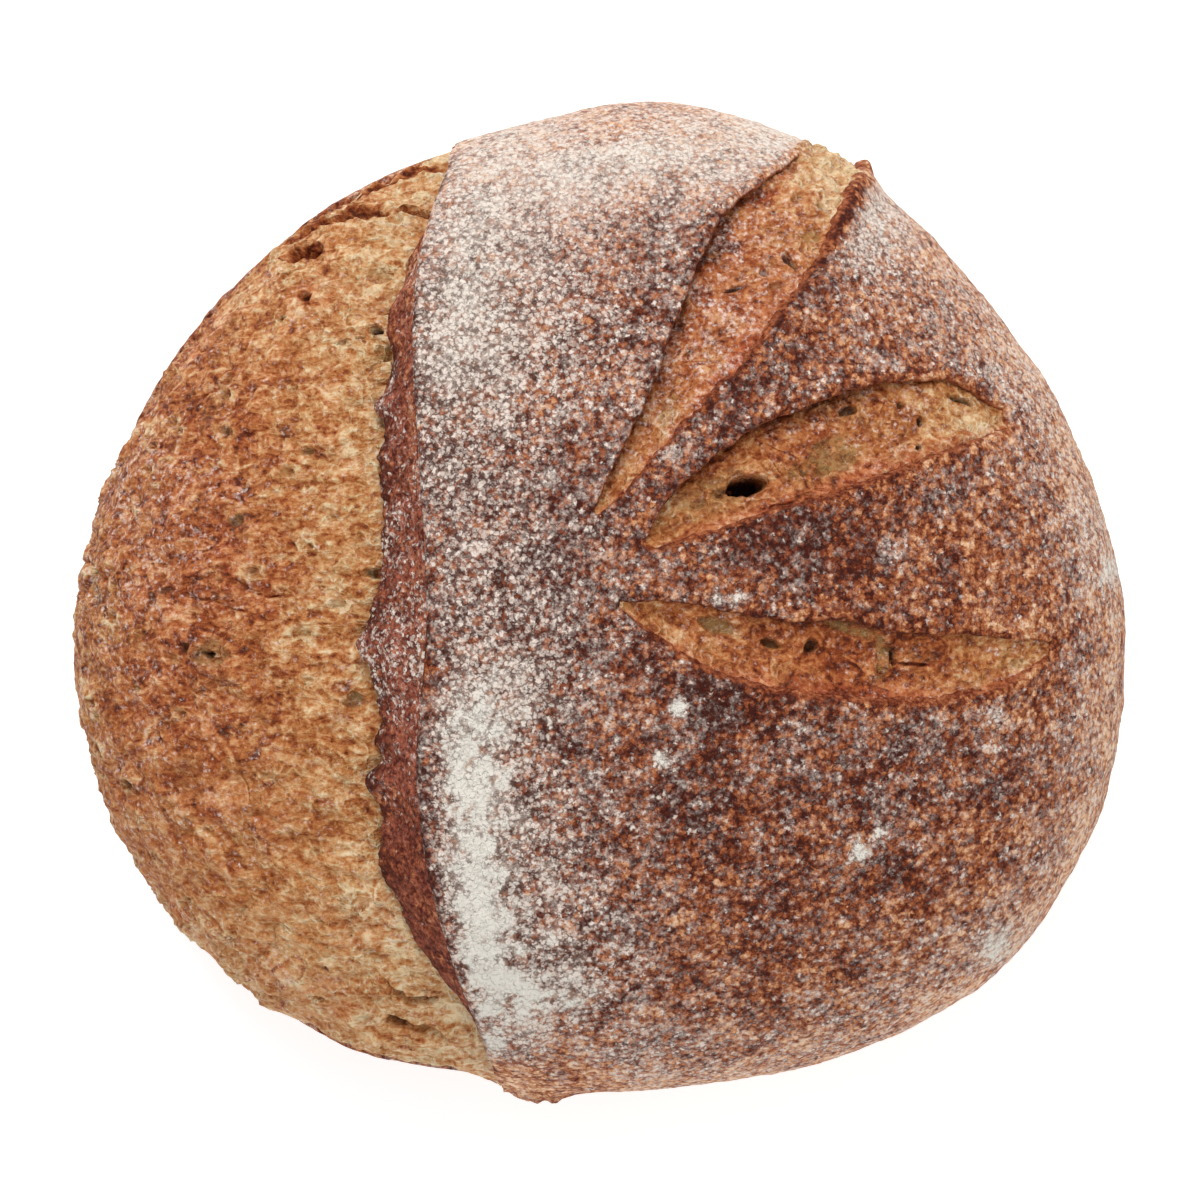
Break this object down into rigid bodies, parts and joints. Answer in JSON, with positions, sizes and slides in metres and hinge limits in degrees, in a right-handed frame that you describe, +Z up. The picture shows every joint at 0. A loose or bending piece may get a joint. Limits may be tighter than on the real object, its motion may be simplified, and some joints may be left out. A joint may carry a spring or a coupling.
{
  "type": "sourdough loaf",
  "caption": "Round uncut country loaf with one long slash torn open into a raised ear and a wide bloom, three leaf-shaped cuts and a floured crust.",
  "frame": {"origin": "centre of the loaf's outline, on the flat base it stands on", "axes": "+Z up; +X along the loaf's widest line, from the torn bloom across the long slash to the side with three cuts; +Y along the long slash"},
  "size_m": [0.2384, 0.2252, 0.0981],
  "materials": {
    "crust": "dry, matt, floured brown crust"
  },
  "bodies": {
    "root": {"loaf": "crust"}
  },
  "joints": []
}
